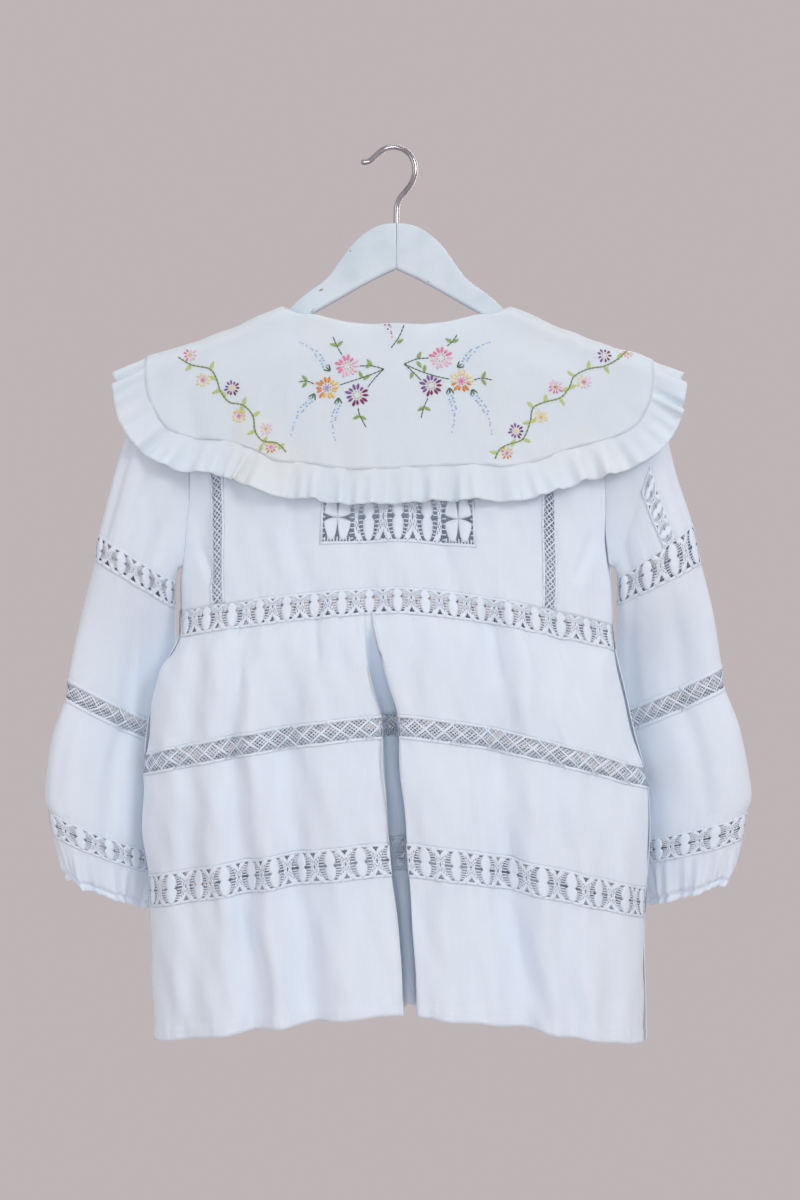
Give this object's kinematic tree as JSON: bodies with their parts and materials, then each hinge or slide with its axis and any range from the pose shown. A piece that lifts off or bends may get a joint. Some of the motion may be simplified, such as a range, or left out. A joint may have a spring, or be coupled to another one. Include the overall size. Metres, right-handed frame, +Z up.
{
  "type": "blouse on hanger",
  "caption": "White tiered cotton blouse with lace bands, full sleeves and a wide embroidered ruffled collar, on a painted wooden hanger with a wire hook.",
  "frame": {"origin": "where a rail touches the hook, on the inner side of its crown, right above the shank", "axes": "+Z up, from the hem to the hook; -Y towards the side that shows the blouse's back, +Y towards its front; +X to the right as seen from the -Y side"},
  "size_m": [0.5995, 0.1452, 0.7617],
  "materials": {
    "cotton": "matte",
    "lace": "matte",
    "collar_cotton": "matte",
    "white_paint": "satin",
    "steel": "polished"
  },
  "bodies": {
    "root": {"band_1_back": "lace", "band_1_front": "lace", "band_2_back": "lace", "band_2_front": "lace", "band_3_back": "lace", "band_3_front": "lace", "collar_back": "collar_cotton", "collar_front": "collar_cotton", "hanger_left": "white_paint", "hanger_right": "white_paint", "hem_tier_back": "cotton", "hem_tier_front": "cotton", "hook": "steel", "lace_strip_left": "lace", "lace_strip_right": "lace", "ruffle_back": "collar_cotton", "ruffle_front": "collar_cotton", "sleeve_band_a_left_back": "lace", "sleeve_band_a_left_front": "lace", "sleeve_band_a_right_back": "lace", "sleeve_band_a_right_front": "lace", "sleeve_band_b_left": "lace", "sleeve_band_b_right": "lace", "sleeve_band_c_left_back": "lace", "sleeve_band_c_left_front": "lace", "sleeve_band_c_right_back": "lace", "sleeve_band_c_right_front": "lace", "sleeve_cuff_left": "cotton", "sleeve_cuff_right": "cotton", "sleeve_lower_left": "cotton", "sleeve_lower_right": "cotton", "sleeve_middle_left": "cotton", "sleeve_middle_right": "cotton", "sleeve_strip_left": "lace", "sleeve_strip_right": "lace", "sleeve_upper_left": "cotton", "sleeve_upper_right": "cotton", "tier_1_back": "cotton", "tier_1_front": "cotton", "tier_2_back": "cotton", "tier_2_front": "cotton", "upper_back": "cotton", "upper_front": "cotton", "yoke_inset": "lace"}
  },
  "joints": []
}
